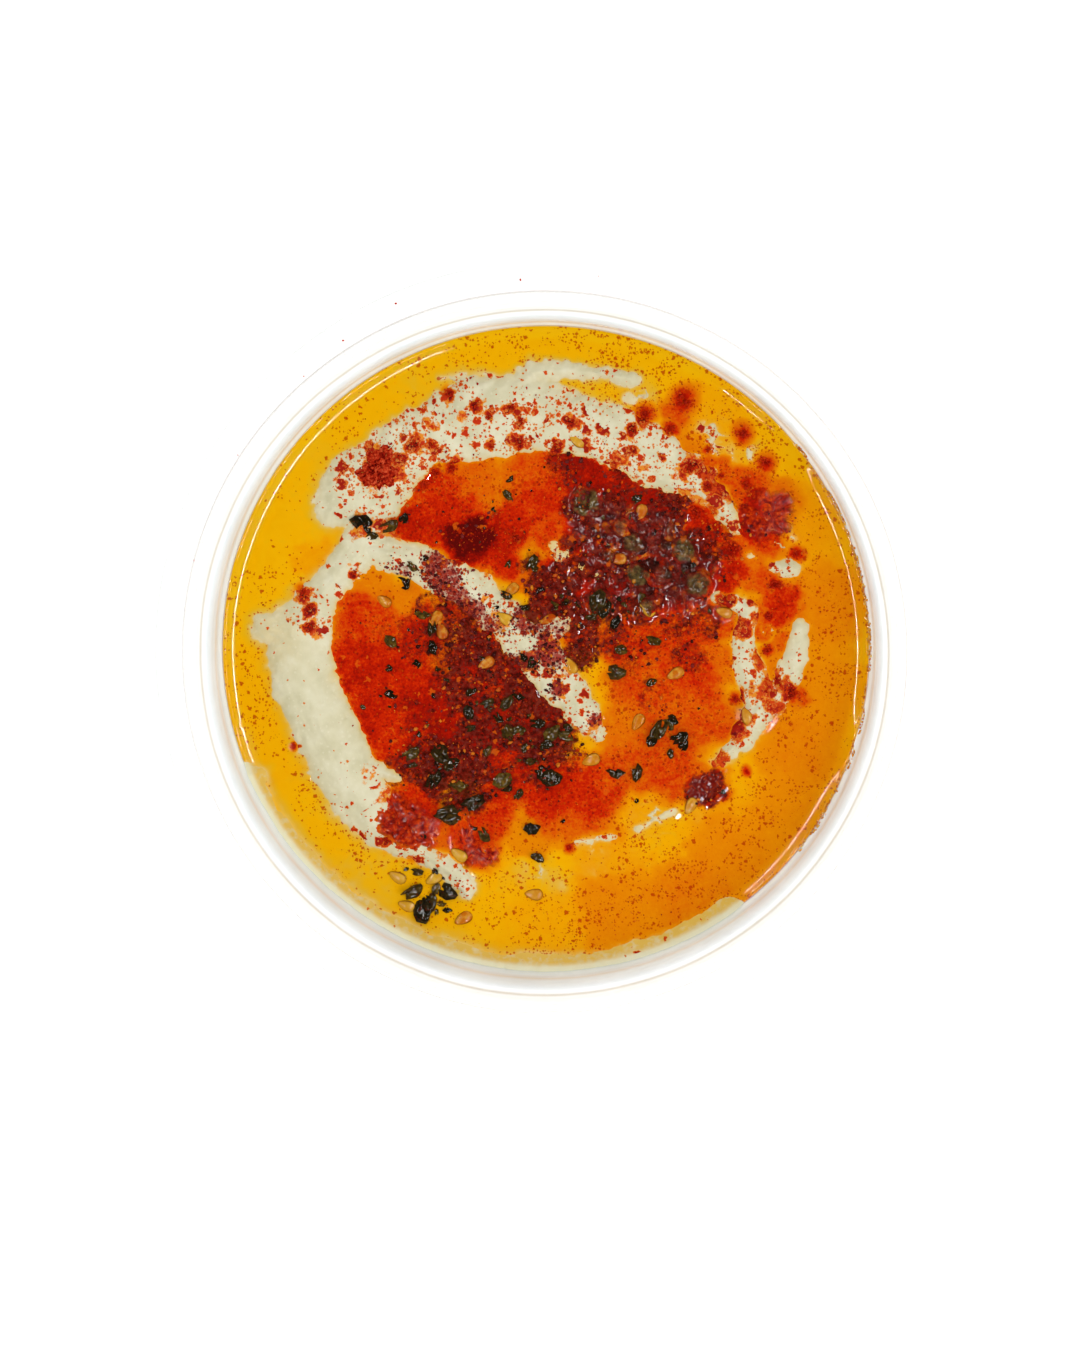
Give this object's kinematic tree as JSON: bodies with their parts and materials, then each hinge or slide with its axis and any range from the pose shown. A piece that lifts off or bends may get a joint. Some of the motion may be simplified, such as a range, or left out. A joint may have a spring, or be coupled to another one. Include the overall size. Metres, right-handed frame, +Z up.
{
  "type": "tub of hummus",
  "caption": "Clear round tub filled with swirled hummus, with seasoned oil standing in its hollows and chilli paste, paprika and dark spice on top.",
  "frame": {"origin": "middle of the tub's flat base, on the surface it stands on", "axes": "+Z up through the mouth; +X to the right and -Y to the front as the swirl is seen from above"},
  "size_m": [0.1278, 0.1278, 0.045],
  "materials": {
    "clear_plastic": "clear, thin and glossy",
    "hummus": "moist, smooth cream with a fine grain",
    "seasoned_oil": "liquid gloss, amber to chilli red",
    "chilli_paste": "wet, grainy gloss",
    "paprika": "dry powder",
    "dark_spice": "wet, lumpy and dark",
    "herb": "dried, crinkled leaf",
    "sesame": "oiled seed"
  },
  "bodies": {
    "root": {"tub": "clear_plastic", "hummus": "hummus", "oil": "seasoned_oil", "chilli_paste_left": "chilli_paste", "chilli_paste_front": "chilli_paste", "chilli_paste_right": "chilli_paste", "chilli_paste_edge": "chilli_paste", "paprika_mound": "paprika", "spice_heap": "dark_spice"}
  },
  "joints": []
}
